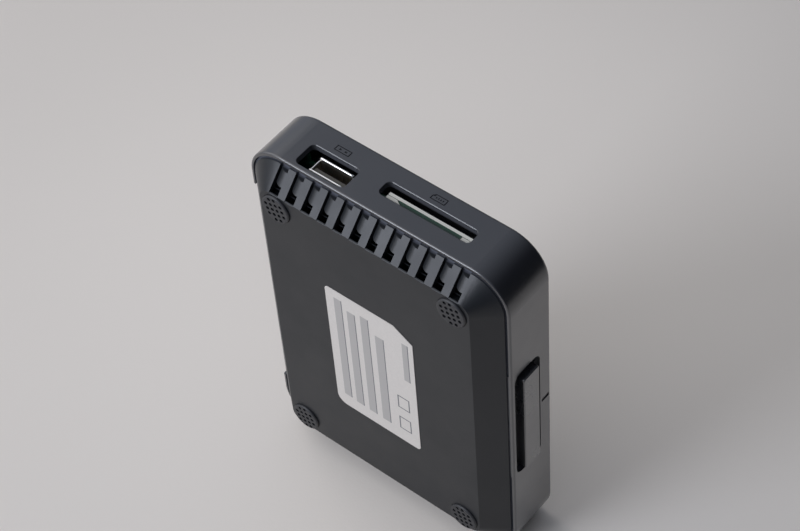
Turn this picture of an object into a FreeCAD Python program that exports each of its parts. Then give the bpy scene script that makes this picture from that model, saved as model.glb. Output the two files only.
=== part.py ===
import FreeCAD, Part
import math
import os

from FreeCAD import Vector

# A small solid-state media player: a deep top shell closed by a dished bottom
# cover, with a USB socket and a card slot on one short edge, a long power bar
# on one long edge and a sunk bay of connectors on the other long edge.
#
# Millimetres.  The player stands on the short edge opposite its sockets:
# +Z runs up its length, X across its width, and -Y is the side of the bottom
# cover, its four feet and its label.  The origin is at the middle of the
# footprint.  "Inset" is a distance in from the outer side wall.

# ---------------------------------------------------------------- the case
case_w = 94.5             # across, side wall to side wall
case_l = 131.5            # standing height, short edge to short edge
shell_depth = 18.7        # rim of the top shell to its back face
corner_r = 12.7           # plan corners
wall_t = 2.0              # side walls
back_t = 2.0              # back plate
back_edge_r = 1.2         # soft edge round the back face
rim_edge_r = 0.6          # soft outer edge of the rim
lip_t = 1.0               # thin lip left at the rim
rabbet_d = 2.3            # depth of the step that takes the cover's flange
fit_gap = 0.15            # between parts that are assembled together

# ---------------------------------------------------------- bottom cover
cover_proud = 6.5         # flat field beyond the rim
cover_inset = 1.8         # outer edge of the sloped border
edge_drop = 0.2           # border starts this far outside the rim plane
border_side = 9.15        # inset of the flat field at the long sides
border_top = 8.4          # inset of the flat field at the socket end
border_base = 10.0        # inset of the flat field at the standing end
field_r = 4.0             # corners of the flat field
cover_t = 2.0
skirt_t = 1.6
flange_t = 1.6

vent_pitch = 5.94
vent_w = 3.3
vent_margin = 3.6         # least width of flat field left beyond the last slot
vent_floor = 0.65         # the skirt below the rim plane stays whole
vent_lip = 0.5            # thin edge left where the flat field meets each slot
vent_edge = 0.32          # bevel on that edge
vent_relief = 3.6         # the field is thinned from inside over this length
vane_top = 1.1            # each slot's rounded louvre starts this far from its upper end
vane_drop = 2.5           # and rolls away from the rib on its right to this depth
vane_back = 3.2           # its back face, behind the border's outer face
vane_root = 0.6           # it runs this far under the rib on its left
vane_share = 0.66         # the louvre's lower end, as a part of the slot's length

# -------------------------------------------------------- feet and screws
foot_d = 10.2
foot_proud = 0.75
foot_seat = 0.9           # depth of the recess that holds each pad
foot_gap = 0.1
foot_side = 15.2          # pad centre to the long side
foot_top = 14.1           # pad centre to the socket end
foot_base = 15.0          # pad centre to the standing end
foot_edge_r = 0.6         # soft edge of each pad
foot_dimple_d = 1.2
foot_dimple_pitch = 1.93
foot_dimple_reach = 4.05  # furthest dimple centre from the pad's centre
foot_dimple_turn = 15.0   # degrees that the square field of dimples is turned
foot_dimple_depth = 0.7

screw_d = 2.9             # self-tapping case screws
screw_head_d = 5.4
screw_head_h = 1.9
screw_l = 13.0
screw_gap = 0.06
boss_wall = 1.6
boss_split = 2.0          # where the two bosses meet, in from the rim plane
boss_meet = 0.05

# ------------------------------------------------------------- the label
label_w = 32.7
label_h = 57.0
label_t = 0.15
label_r = 1.5
label_key_r = 3.6         # larger corner, lower left
label_clip_x = 6.8        # clipped corner, upper right
label_clip_z = 4.4

# --------------------------------------------------------- the power bar
bar_w = 7.2
bar_l = 44.2
bar_proud = 1.65
bar_r = 0.9
bar_edge_r = 0.35
bar_axis = 7.27           # bar and pocket centre, in from the rim plane
moat_side = 2.4           # pocket edge to bar, long sides
moat_end = 2.2            # pocket edge to bar, ends
pocket_r = 3.0
bar_flange_lap = 0.7      # flange behind the wall, beyond the pocket
bar_flange_t = 1.2
bar_rest_gap = 0.1
bar_travel = 0.7
bar_stop_gap = 0.3        # left between flange and guides when pressed
peg_d = 2.2
peg_gap = 0.06            # running fit, on the radius
peg_spacing = 34.0
peg_past = 0.4
peg_clear = 0.4           # board notch round each peg at full travel
guide_t = 1.8
guide_w = 7.0
guide_base_t = 3.2
mark_gap = 0.78           # engraved index line beside the bar, from the pocket's edge
mark_end = 1.25           # and short of the back face
mark_w = 1.7
engrave_d = 0.3

# ------------------------------------------------------- the main board
board_face = 6.95         # near face of the board, in from the rim plane
board_t = 1.6
board_top_gap = 1.2       # board tongue in the card slot, in from the wall's outside
board_wall_gap = 0.5
board_right = 6.6         # inset of the board's right edge
board_left = 5.9
board_r = 9.0
board_hole_gap = 0.4
board_notch_w = 3.4       # clear of the USB window, on the socket's outer side
board_notch_d = 3.0
standoff_d = 5.4
board_screw_d = 2.4
board_screw_l = 7.0
board_head_d = 4.4
board_head_h = 1.5
standoff_left = 26.25      # in from the left side wall
standoff_right = 13.75     # in from the right side wall
standoff_top_left = 32.5   # down from the socket end
standoff_top_right = 37.5
standoff_low = 27.0        # up from the standing end

# ----------------------------------------------------------- USB socket
usb_side = 26.93          # socket centre, in from the left side wall
usb_axis = 5.54           # in from the rim plane
usb_mouth = 1.8           # in from the wall's outside
usb_w = 13.1
usb_h = 5.74
usb_d = 14.0
usb_sheet = 0.3
usb_lip = 0.22            # the two wide plates flare out at the mouth
usb_lip_l = 0.7
usb_lip_end = 0.5
usb_side_drop = 1.2       # the two narrow plates stop short of the mouth
usb_ear_w = 1.0
usb_ear_l = 2.4
usb_cut_gap = 0.25
usb_tongue_w = 11.1
usb_tongue_t = 1.84
usb_tongue_l = 8.9
usb_tongue_gap = 0.72     # tongue to the near plate
usb_pocket_w = 17.75
usb_pocket_h = 8.4
usb_pocket_shift = -1.4   # window centre, across from the socket centre
usb_pocket_axis = 5.9
usb_pocket_r = 1.6
usb_contact_pitch = 2.5
usb_contact_w = 1.0
usb_contact_t = 0.22

# ----------------------------------------------------------- card slot
card_side = 34.2          # socket centre, in from the right side wall
card_w = 29.5
card_d = 28.0
card_base_t = 1.0         # moulded floor under the card
card_slot_h = 2.3         # a 2.1 mm card with its clearance
card_side_t = 2.5
card_sheet = 0.25
card_foot_left = 3.4      # moulded ends beside the board's tongue, at the far face
card_foot_right = 3.0
card_foot_splay = 1.6     # the left one is longer at its near side
card_foot_set = 0.4       # from the board's near plane
card_foot_slit = 0.25     # fine gap between each end and the floor
card_foot_root = 0.5
card_cover_set = 8.0      # steel cover and side rails set back from the wall's outside
card_pocket_w = 32.3
card_pocket_lo = 6.6      # opening, in from the rim plane
card_pocket_hi = 11.9
card_pocket_shift = -0.95
card_pocket_r = 1.6
card_tongue_gap = 0.15    # board tongue to the moulded ends on both sides
card_contact_n = 9
card_contact_pitch = 2.5
card_contact_w = 1.1
card_contact_t = 0.25
card_contact_l = 8.0
opening_bevel = 0.2
usb_mark_gap = 2.85       # middle of each engraved outline, beyond its window
usb_mark_w = 5.4
usb_mark_h = 2.1
usb_mark_pin = 0.8
usb_mark_pin_x = 1.0
usb_mark_pin_h = 0.6
card_mark_gap = 2.8
card_mark_shift = -0.3
card_mark_w = 5.2
card_mark_h = 2.3
card_mark_clip = 0.9
card_mark_pin = 0.3
card_mark_pin_h = 0.7
card_mark_pitch = 0.8
mark_line = 0.32

# ---------------------------------------------------- the connector bay
bay_end = 18.75           # each end of the bay to the end of the case
bay_hi = 14.2             # far edge of the bay, in from the rim plane
panel_t = 1.5
panel_lap = 1.5
panel_gap = 0.2
rail_t = 1.4
rail_w = 1.6
jack_setback = 0.9        # front of the connectors, in from the wall's outside
jack_hole_gap = 0.25
hdmi_up = 4.25            # up from the middle of the bay
hdmi_w = 14.9
hdmi_h = 5.6
hdmi_d = 11.5
hdmi_sheet = 0.35
hdmi_tongue_w = 10.6
hdmi_tongue_t = 1.1
jack_body_w = 6.4
jack_body_h = 5.2
jack_body_d = 12.0
jack_bush_d = 5.0
jack_bore_d = 3.6
jack_lift = 0.35          # jack axis above the middle of its body
av_down = 24.25           # down from the upper end of the bay
component_down = 12.25
coax_up = 30.75           # up from the lower end of the bay
coax_body = 10.0
coax_d = 12.5
coax_ring_d = 8.3
coax_bore_d = 3.3
coax_land = 0.6
dc_up = 9.75
dc_w = 9.0
dc_h = 8.6
dc_d = 13.0
dc_bore_d = 6.3
dc_bore_l = 9.4
dc_pin_d = 2.0
mid_axis = 7.9            # axis of the sockets sunk through the board

# --------------------------------------------------- parts on the board
cpu_x = 2.0               # across, from the case's mid plane
cpu_up = 0.25             # up, from the middle of the board
cpu_w = 19.0
cpu_t = 1.3
pad_t = 0.5
sink_w = 26.0
sink_base_t = 1.8
sink_h = 6.0
fin_t = 1.1
fin_pitch = 3.1
ram_x = (-7.5, 11.5)
ram_up = 22.75
ram_w = 9.0
ram_l = 13.0
ram_t = 1.1
flash_side = 21.25        # in from the right side wall
flash_up = 0.25
flash_w = 12.0
flash_l = 18.4
flash_t = 1.0
dac_x = -19.0
dac_up = -3.75
dac_w = 6.4
dac_l = 9.6
dac_t = 1.2
crystal_x = -16.5
crystal_up = 11.25
crystal_w = 4.6
crystal_l = 11.0
crystal_h = 3.4
coil_at = ((25.75, 38.0), (37.75, 38.0))    # in from the left side wall, and up
coil_w = 7.2
coil_h = 3.6
coil_core_d = 5.2
can_at = ((25.75, 14.0), (35.25, 14.0), (50.25, 36.0), (59.75, 36.0))
can_d = 6.3
can_h = 6.6
can_base_t = 0.9
reg_at = ((42.25, 24.0), (69.25, 40.0))
reg_w = 6.6
reg_l = 7.0
reg_t = 1.8
chip_l = 1.6
chip_w = 0.8
chip_h = 0.6
chip_pitch = 2.6
chip_rows = ((-12.0, -14.75), (-12.0, 14.25), (18.0, 14.25), (18.0, -13.75))  # from the middle
chip_counts = (11, 5, 6, 5)
ir_z_off = 9.0            # infrared receiver, from the bar's middle
ir_w = 5.2
ir_h = 3.6
ir_d = 4.0
ir_dome_r = 1.3
led_z_off = -8.0
led_w = 3.0
led_h = 1.1
led_d = 1.6
switch_w = 7.0
switch_h = 3.4
switch_d = 3.6
switch_stem_d = 2.0
switch_stem_out = 1.5
switch_stem_gap = 0.06
switch_touch = 0.1        # bar boss to switch stem at rest
switch_leg_w = 0.6
switch_leg_t = 0.25

# ---------------------------------------------- planes that follow from them
case_x = -bar_proud / 2                     # mid plane of the case
left_x = case_x - case_w / 2
right_x = case_x + case_w / 2
foot_y = -(foot_proud + cover_proud + shell_depth) / 2
field_y = foot_y + foot_proud
rim_y = field_y + cover_proud
back_y = rim_y + shell_depth
back_in = back_y - back_t                   # inner face of the back plate
near_y = rim_y + board_face                 # near face of the board
far_y = near_y + board_t                    # far face of the board
mid_z = case_l / 2
usb_x = left_x + usb_side
card_x = right_x - card_side
flash_x = right_x - flash_side - case_x
hdmi_z = mid_z + hdmi_up
av_z = case_l - bay_end - av_down
component_z = case_l - bay_end - component_down
coax_z = bay_end + coax_up
dc_z = bay_end + dc_up
cpu_z = mid_z + cpu_up
ram_z = mid_z + ram_up
flash_z = mid_z + flash_up
dac_z = mid_z + dac_up
crystal_z = mid_z + crystal_up
foot_x = (case_w / 2 - foot_side)
foot_spots = {
    "foot_upper_right": (case_x + foot_x, case_l - foot_top),
    "foot_upper_left": (case_x - foot_x, case_l - foot_top),
    "foot_lower_right": (case_x + foot_x, foot_base),
    "foot_lower_left": (case_x - foot_x, foot_base),
}
boss_y = rim_y + boss_split
pocket_y0 = rim_y + bar_axis - bar_w / 2 - moat_side
pocket_y1 = rim_y + bar_axis + bar_w / 2 + moat_side
pocket_z0 = mid_z - bar_l / 2 - moat_end
pocket_z1 = mid_z + bar_l / 2 + moat_end
flange_x1 = right_x - wall_t - bar_rest_gap
flange_x0 = flange_x1 - bar_flange_t
guide_x1 = flange_x0 - bar_travel - bar_stop_gap
guide_x0 = guide_x1 - guide_t
standoff_spots = (
    (left_x + standoff_left, case_l - standoff_top_left),
    (right_x - standoff_right, case_l - standoff_top_right),
    (left_x + standoff_left, standoff_low),
    (right_x - standoff_right, standoff_low),
)
screw_seat = field_y + foot_seat + screw_head_h + 0.3


# ------------------------------------------------------------------ helpers
def block(x0, x1, y0, y1, z0, z1):
    """A box between two corners."""
    return Part.makeBox(x1 - x0, y1 - y0, z1 - z0, Vector(x0, y0, z0))


def rod(axis, at, r, a0, a1):
    """A cylinder along an axis; `at` holds the other two coordinates in order."""
    if axis == "x":
        return Part.makeCylinder(r, a1 - a0, Vector(a0, at[0], at[1]), Vector(1, 0, 0))
    if axis == "y":
        return Part.makeCylinder(r, a1 - a0, Vector(at[0], a0, at[1]), Vector(0, 1, 0))
    return Part.makeCylinder(r, a1 - a0, Vector(at[0], at[1], a0), Vector(0, 0, 1))


def rounded_wire(place, a0, a1, b0, b1, radii):
    """A closed rectangle with rounded corners; `place` maps (a, b) to a point.

    `radii` is one radius or four, from corner (a0, b0) and round through (a1, b0).
    """
    if not isinstance(radii, (tuple, list)):
        radii = (radii,) * 4
    corners = ((a0, b0, 1, 1), (a1, b0, -1, 1), (a1, b1, -1, -1), (a0, b1, 1, -1))
    k = 1 - 0.5 ** 0.5
    arcs = []
    for i, ((a, b, sa, sb), r) in enumerate(zip(corners, radii)):
        along_b = (a, b + sb * r)
        along_a = (a + sa * r, b)
        middle = (a + sa * r * k, b + sb * r * k)
        start, end = (along_b, along_a) if i % 2 == 0 else (along_a, along_b)
        arcs.append((start, middle, end))
    edges = []
    for i, (start, middle, end) in enumerate(arcs):
        edges.append(Part.Arc(place(*start), place(*middle), place(*end)).toShape())
        following = arcs[(i + 1) % 4][0]
        edges.append(Part.LineSegment(place(*end), place(*following)).toShape())
    return Part.Wire(edges)


def prism_x(y0, y1, z0, z1, r, x0, x1):
    wire = rounded_wire(lambda a, b: Vector(x0, a, b), y0, y1, z0, z1, r)
    return Part.Face(wire).extrude(Vector(x1 - x0, 0, 0))


def prism_y(x0, x1, z0, z1, r, y0, y1):
    wire = rounded_wire(lambda a, b: Vector(a, y0, b), x0, x1, z0, z1, r)
    return Part.Face(wire).extrude(Vector(0, y1 - y0, 0))


def prism_z(x0, x1, y0, y1, r, z0, z1):
    wire = rounded_wire(lambda a, b: Vector(a, b, z0), x0, x1, y0, y1, r)
    return Part.Face(wire).extrude(Vector(0, 0, z1 - z0))


def case_prism(inset, y0, y1):
    """The case outline, drawn in by `inset`, between two depths."""
    return prism_y(left_x + inset, right_x - inset, inset, case_l - inset,
                   corner_r - inset, y0, y1)


def edges_at(shape, axis, value):
    """Edges that lie wholly in the plane axis = value."""
    found = []
    for edge in shape.Edges:
        box = edge.BoundBox
        low, high = {"x": (box.XMin, box.XMax), "y": (box.YMin, box.YMax),
                     "z": (box.ZMin, box.ZMax)}[axis]
        if abs(low - value) < 1e-4 and abs(high - value) < 1e-4:
            found.append(edge)
    return found


def save(name, shape):
    shape = shape.removeSplitter()
    solids = shape.Solids
    if len(solids) == 1:
        shape = solids[0]
    else:
        shape = Part.makeCompound(solids)
    if not shape.isValid() or shape.Volume <= 0:
        raise RuntimeError("bad solid in " + name)
    shape.exportStep("parts/" + name + ".step")
    print(name, len(solids), round(shape.Volume, 2))


# ---------------------------------------------------------------- top shell
def bar_zone():
    """Block behind the side wall where the bar's flange and its travel live."""
    lap = bar_flange_lap + bar_stop_gap
    return block(flange_x0 - bar_travel - bar_stop_gap, right_x + 1,
                 pocket_y0 - lap, pocket_y1 + lap, pocket_z0 - lap, pocket_z1 + lap)


def socket_openings():
    """Rounded windows in the socket edge, each with a fine outer bevel."""
    usb = (usb_x + usb_pocket_shift - usb_pocket_w / 2, usb_x + usb_pocket_shift + usb_pocket_w / 2,
           rim_y + usb_pocket_axis - usb_pocket_h / 2, rim_y + usb_pocket_axis + usb_pocket_h / 2,
           usb_pocket_r)
    card = (card_x + card_pocket_shift - card_pocket_w / 2, card_x + card_pocket_shift + card_pocket_w / 2,
            rim_y + card_pocket_lo, rim_y + card_pocket_hi, card_pocket_r)
    tools = []
    for x0, x1, y0, y1, r in (usb, card):
        tools.append(prism_z(x0, x1, y0, y1, r, case_l - wall_t - 1, case_l + 1))
        b = opening_bevel
        inner = rounded_wire(lambda p, q: Vector(p, q, case_l - b), x0, x1, y0, y1, r)
        outer = rounded_wire(lambda p, q: Vector(p, q, case_l + b),
                             x0 - 2 * b, x1 + 2 * b, y0 - 2 * b, y1 + 2 * b, r + 2 * b)
        tools.append(Part.makeLoft([inner, outer], True, True))
    return tools


def opening_marks():
    """Plain engraved outlines beside the two sockets: a plug and a card."""
    deep, out = case_l - engrave_d, case_l + 1
    line = mark_line
    x = usb_x + usb_pocket_shift
    y = rim_y + usb_pocket_axis + usb_pocket_h / 2 + usb_mark_gap
    w, h = usb_mark_w / 2, usb_mark_h / 2
    plug = block(x - w, x + w, y - h, y + h, deep, out)
    tools = [plug.cut(block(x - w + line, x + w - line, y - h + line, y + h - line,
                            deep - 1, out + 1))]
    for dx in (-usb_mark_pin_x, usb_mark_pin_x):
        tools.append(block(x + dx - usb_mark_pin / 2, x + dx + usb_mark_pin / 2,
                           y - usb_mark_pin_h / 2, y + usb_mark_pin_h / 2, deep, out))

    x = card_x + card_pocket_shift + card_mark_shift
    y = rim_y + card_pocket_hi + card_mark_gap
    w, h, clip = card_mark_w / 2, card_mark_h / 2, card_mark_clip
    outline = [(-w, -h), (w, -h), (w, h), (-w + clip, h), (-w, h - clip), (-w, -h)]
    points = [Vector(x + a, y + b, deep) for a, b in outline]
    card = Part.Face(Part.makePolygon(points)).extrude(Vector(0, 0, engrave_d + 1))
    hollow = block(x - w + line, x + w - line, y - h + line, y + h - clip - line / 6,
                   deep - 1, out + 1)
    upper = block(x - w + clip + line / 1.6, x + w - line, y + h - clip - line / 2,
                  y + h - line, deep - 1, out + 1)
    tools.append(card.cut([hollow, upper]))
    for i in range(4):
        at = x + (i - 1.5) * card_mark_pitch
        tools.append(block(at + card_mark_pin / 6, at + card_mark_pin * 7 / 6,
                           y - card_mark_pin_h / 2, y + card_mark_pin_h / 2, deep, out))
    return tools


def panel_box(grow):
    """The connector panel's envelope behind the bay, enlarged by `grow`."""
    x0 = left_x + wall_t + panel_gap
    return block(x0 - grow, x0 + panel_t + grow,
                 rim_y + rabbet_d + panel_gap - grow, back_in - panel_gap + grow,
                 bay_end - panel_lap - grow, case_l - bay_end + panel_lap + grow)


def panel_rails():
    """Moulded channels at both ends of the bay that hold the panel's edges."""
    rails = []
    x0 = left_x + wall_t - 0.2
    x1 = left_x + wall_t + panel_gap + panel_t + panel_gap + rail_t
    half = mid_z - bay_end + panel_lap + panel_gap
    for sign in (-1, 1):
        outer = mid_z + sign * (half + rail_w)
        inner = mid_z + sign * (half - panel_lap)
        z0, z1 = min(outer, inner), max(outer, inner)
        rail = block(x0, x1, rim_y + rabbet_d + panel_gap, back_in + 0.2, z0, z1)
        channel_end = mid_z + sign * half
        mouth = mid_z + sign * (half - panel_lap - 1)
        c0, c1 = min(channel_end, mouth), max(channel_end, mouth)
        rails.append(rail.cut(block(left_x + wall_t, left_x + wall_t + panel_t + 2 * panel_gap,
                                    rim_y, back_in, c0, c1)))
    return rails


def bar_guides():
    """Two uprights on the back plate that carry the bar's pegs and stop its travel."""
    guides = []
    for sign in (-1, 1):
        z = mid_z + sign * peg_spacing / 2
        y0 = rim_y + bar_axis - guide_w / 2
        post = block(guide_x0, guide_x1, y0, back_in + 0.2, z - guide_w / 2, z + guide_w / 2)
        rib = block(guide_x0 - guide_base_t, guide_x1, far_y + board_wall_gap, back_in + 0.2,
                    z - guide_w / 2, z - guide_w / 2 + guide_t)
        hole = rod("x", (rim_y + bar_axis, z), peg_d / 2 + peg_gap, guide_x0 - 1, guide_x1 + 1)
        guides.append(post.fuse(rib).cut(hole))
    return guides


def top_shell():
    body = case_prism(0, rim_y, back_y)
    body = body.makeFillet(back_edge_r, edges_at(body, "y", back_y))
    body = body.makeFillet(rim_edge_r, edges_at(body, "y", rim_y))
    body = body.cut(case_prism(wall_t, rim_y - 1, back_in))
    rabbet = case_prism(lip_t, rim_y - 1, rim_y + rabbet_d)
    body = body.cut(rabbet.cut(bar_zone()))

    posts = []
    for x, z in foot_spots.values():
        posts.append(rod("y", (x, z), screw_d / 2 + boss_wall, boss_y + boss_meet, back_in + 0.2))
    for x, z in standoff_spots:
        posts.append(rod("y", (x, z), standoff_d / 2, far_y, back_in + 0.2))
    body = body.fuse(posts + panel_rails() + bar_guides())

    bay = block(left_x - 1, left_x + wall_t, rim_y - 1, rim_y + bay_hi,
                bay_end, case_l - bay_end)
    pocket = prism_x(pocket_y0, pocket_y1, pocket_z0, pocket_z1, pocket_r,
                     right_x - wall_t - 0.5, right_x + 1)
    mark = block(right_x - engrave_d, right_x + 1, pocket_y1 + mark_gap, back_y - mark_end,
                 mid_z - mark_w / 2, mid_z + mark_w / 2)
    tools = [bay, pocket, mark] + socket_openings() + opening_marks()
    for x, z in foot_spots.values():
        tools.append(rod("y", (x, z), screw_d / 2 + screw_gap, rim_y,
                         screw_seat + screw_l + 0.6))
    for x, z in standoff_spots:
        tools.append(rod("y", (x, z), board_screw_d / 2 + screw_gap, rim_y,
                         near_y + board_screw_l + 0.5))
    return body.cut(tools)


# ------------------------------------------------------------- bottom cover
def cover_wire(y, side, top, base, r):
    return rounded_wire(lambda a, b: Vector(a, y, b), left_x + side, right_x - side,
                        base, case_l - top, r)


def border_shift(border):
    """How far the border's inner face lies inside its outer face, level with it."""
    run = border - cover_inset
    rise = cover_proud - edge_drop
    return cover_t * (run ** 2 + rise ** 2) ** 0.5 / rise


def cover_hollow():
    """The space inside the dished cover: skirt, sloped border and flat field."""
    skirt_in = cover_inset + skirt_t
    rise = cover_proud - edge_drop
    rim_side = rim_y - edge_drop

    def meets_skirt(border):
        slope = (border - cover_inset) / rise
        return rim_side + (cover_inset + border_shift(border) - skirt_in) / slope

    def field_inset(border):
        slope = (border - cover_inset) / rise
        return border + border_shift(border) - cover_t * slope

    turn_y = max(meets_skirt(border_side), meets_skirt(border_top), meets_skirt(border_base))
    upper = cover_wire(turn_y, skirt_in, skirt_in, skirt_in, corner_r - skirt_in)
    lower = cover_wire(field_y + cover_t, field_inset(border_side), field_inset(border_top),
                       field_inset(border_base), field_r)
    slope_part = Part.makeLoft([upper, lower], True, True)
    skirt_part = case_prism(skirt_in, turn_y - 0.001, rim_y + rabbet_d + 1)
    return skirt_part.fuse(slope_part)


def vent_tools():
    z0 = case_l - border_top
    z1 = case_l - cover_inset + 1
    z_thin = z0 - vent_relief
    y_lip, y_in = field_y + vent_lip, field_y + cover_t + 0.5
    tools = []
    vanes = []
    vent_count = int((case_w - 2 * (border_side + vent_margin) - vent_w) / vent_pitch) + 1
    for k in range(vent_count):
        x = case_x + (k - (vent_count - 1) / 2) * vent_pitch
        tools.append(block(x - vent_w / 2, x + vent_w / 2, field_y - 1, rim_y + vent_floor, z0, z1))
        wedge = Part.makePolygon([Vector(x - vent_w / 2, y_lip, z0 + 0.1),
                                  Vector(x - vent_w / 2, y_in, z0 + 0.1),
                                  Vector(x - vent_w / 2, y_in, z_thin),
                                  Vector(x - vent_w / 2, y_lip, z0),
                                  Vector(x - vent_w / 2, y_lip, z0 + 0.1)])
        tools.append(Part.Face(wedge).extrude(Vector(vent_w, 0, 0)))
        edge = Part.makePolygon([Vector(x - vent_w / 2, field_y, z0 - vent_edge),
                                 Vector(x - vent_w / 2, field_y + vent_edge, z0),
                                 Vector(x - vent_w / 2, field_y + vent_edge, z0 + 0.1),
                                 Vector(x - vent_w / 2, field_y - 0.1, z0 + 0.1),
                                 Vector(x - vent_w / 2, field_y - 0.1, z0 - vent_edge - 0.1),
                                 Vector(x - vent_w / 2, field_y, z0 - vent_edge)])
        tools.append(Part.Face(edge).extrude(Vector(vent_w, 0, 0)))
        vanes.append(x + vent_w / 2)
    return tools, vanes


def vent_vanes(edges):
    """Rounded louvres that roll away into each slot from the rib on its right."""
    rise = cover_proud - edge_drop
    run = border_top - cover_inset
    z_high = case_l - cover_inset - vane_top
    z_low = case_l - cover_inset - vane_share * run
    vanes = []

    def surface(z):
        return rim_y - edge_drop - (case_l - cover_inset - z) * rise / run

    for x in edges:
        sections = []
        for z in (z_low, z_high):
            y = surface(z)
            k = 0.5 ** 0.5
            top, far = Vector(x, y, z), Vector(x - vent_w, y + vane_drop, z)
            middle = Vector(x - vent_w * k, y + vane_drop * (1 - k), z)
            root = x - vent_w - vane_root
            sections.append(Part.Wire([
                Part.LineSegment(Vector(x + 0.2, y + vane_back, z), Vector(x + 0.2, y, z)).toShape(),
                Part.LineSegment(Vector(x + 0.2, y, z), top).toShape(),
                Part.Arc(top, middle, far).toShape(),
                Part.LineSegment(far, Vector(root, y + vane_drop, z)).toShape(),
                Part.LineSegment(Vector(root, y + vane_drop, z),
                                 Vector(root, y + vane_back, z)).toShape(),
                Part.LineSegment(Vector(root, y + vane_back, z),
                                 Vector(x + 0.2, y + vane_back, z)).toShape()]))
        vanes.append(Part.makeLoft(sections, True, True))
    return vanes


def bottom_cover():
    start = rim_y - edge_drop
    upper = cover_wire(start, cover_inset, cover_inset, cover_inset, corner_r - cover_inset)
    lower = cover_wire(field_y, border_side, border_top, border_base, field_r)
    body = Part.makeLoft([upper, lower], True, True)
    body = body.fuse([case_prism(cover_inset, start, rim_y + rabbet_d),
                      case_prism(lip_t + fit_gap, rim_y + rabbet_d - flange_t, rim_y + rabbet_d)])
    body = body.cut(cover_hollow())
    slots, rib_edges = vent_tools()
    body = body.cut(slots).fuse(vent_vanes(rib_edges))

    bosses = [rod("y", (x, z), screw_head_d / 2 + 0.2 + boss_wall, field_y + cover_t / 2, boss_y)
              for x, z in foot_spots.values()]
    body = body.fuse(bosses)
    tools = [bar_zone()]
    for x, z in foot_spots.values():
        tools.append(rod("y", (x, z), foot_d / 2 + foot_gap, field_y - 1, field_y + foot_seat))
        tools.append(rod("y", (x, z), screw_head_d / 2 + 0.2, field_y, screw_seat))
        tools.append(rod("y", (x, z), screw_d / 2 + 0.2, field_y, boss_y + 1))
    body = body.cut(tools)
    return max(body.Solids, key=lambda s: s.Volume)


# --------------------------------------------------- feet, label and screws
def foot(x, z):
    """A rubber pad with a soft edge and a turned square field of dimples."""
    pad = rod("y", (x, z), foot_d / 2, foot_y, field_y + foot_seat)
    pad = pad.makeFillet(foot_edge_r, edges_at(pad, "y", foot_y))
    turn = math.radians(foot_dimple_turn)
    dimples = []
    for i in range(-3, 3):
        for j in range(-3, 4):
            across, along = (i + 0.5) * foot_dimple_pitch, j * foot_dimple_pitch
            if (across ** 2 + along ** 2) ** 0.5 <= foot_dimple_reach:
                dx = across * math.cos(turn) - along * math.sin(turn)
                dz = across * math.sin(turn) + along * math.cos(turn)
                dimples.append(rod("y", (x + dx, z + dz), foot_dimple_d / 2,
                                   foot_y - 1, foot_y + foot_dimple_depth))
    return pad.cut(dimples)


def rating_label():
    x0, x1 = case_x - label_w / 2, case_x + label_w / 2
    z0, z1 = mid_z - label_h / 2, mid_z + label_h / 2
    plate = prism_y(x0, x1, z0, z1, (label_key_r, label_r, 0.4, label_r),
                    field_y - label_t, field_y)
    corner = [Vector(x1 - label_clip_x, field_y - 1, z1 + 1),
              Vector(x1 - label_clip_x, field_y - 1, z1),
              Vector(x1, field_y - 1, z1 - label_clip_z),
              Vector(x1 + 1, field_y - 1, z1 - label_clip_z),
              Vector(x1 + 1, field_y - 1, z1 + 1),
              Vector(x1 - label_clip_x, field_y - 1, z1 + 1)]
    clip = Part.Face(Part.makePolygon(corner)).extrude(Vector(0, 2, 0))
    return plate.cut(clip)


def screw(x, z, seat_y, head_d, head_h, shank_d, length, cross):
    """A pan-head screw driven towards +Y, seated at `seat_y`, with a cross recess."""
    head = rod("y", (x, z), head_d / 2, seat_y - head_h, seat_y)
    head = head.makeFillet(head_h * 0.45, edges_at(head, "y", seat_y - head_h))
    shank = rod("y", (x, z), shank_d / 2, seat_y, seat_y + length - 1)
    tip = Part.makeCone(shank_d / 2, shank_d / 5, 1, Vector(x, seat_y + length - 1, z),
                        Vector(0, 1, 0))
    recess = [block(x - cross, x + cross, seat_y - head_h - 1, seat_y - head_h * 0.45,
                    z - cross / 4, z + cross / 4),
              block(x - cross / 4, x + cross / 4, seat_y - head_h - 1, seat_y - head_h * 0.45,
                    z - cross, z + cross)]
    return head.fuse([shank, tip]).cut(recess)


def case_screws():
    return Part.makeCompound([screw(x, z, screw_seat, screw_head_d, screw_head_h, screw_d,
                                    screw_l, 1.3) for x, z in foot_spots.values()])


def board_screws():
    return Part.makeCompound([screw(x, z, near_y, board_head_d, board_head_h, board_screw_d,
                                    board_screw_l, 1.0) for x, z in standoff_spots])


# ------------------------------------------------------------ the power bar
def power_bar():
    y = rim_y + bar_axis
    bar = prism_x(y - bar_w / 2, y + bar_w / 2, mid_z - bar_l / 2, mid_z + bar_l / 2, bar_r,
                  flange_x1 - 0.2, right_x + bar_proud)
    bar = bar.makeFillet(bar_edge_r, edges_at(bar, "x", right_x + bar_proud))
    lap = bar_flange_lap
    flange = prism_x(pocket_y0 - lap, pocket_y1 + lap, pocket_z0 - lap, pocket_z1 + lap,
                     pocket_r, flange_x0, flange_x1)
    pegs = [rod("x", (y, mid_z + s * peg_spacing / 2), peg_d / 2,
                guide_x0 - peg_past, flange_x0 + 0.2) for s in (-1, 1)]
    boss = rod("x", (switch_y(), mid_z), switch_stem_d / 2 + 0.6,
               switch_tip_x() + switch_touch, flange_x0 + 0.2)
    return bar.fuse([flange, boss] + pegs)


# --------------------------------------------------------------- the switch
def switch_y():
    return near_y - switch_h / 2


def switch_front_x():
    return right_x - board_right + 0.2


def switch_tip_x():
    return switch_front_x() + switch_stem_out


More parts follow.
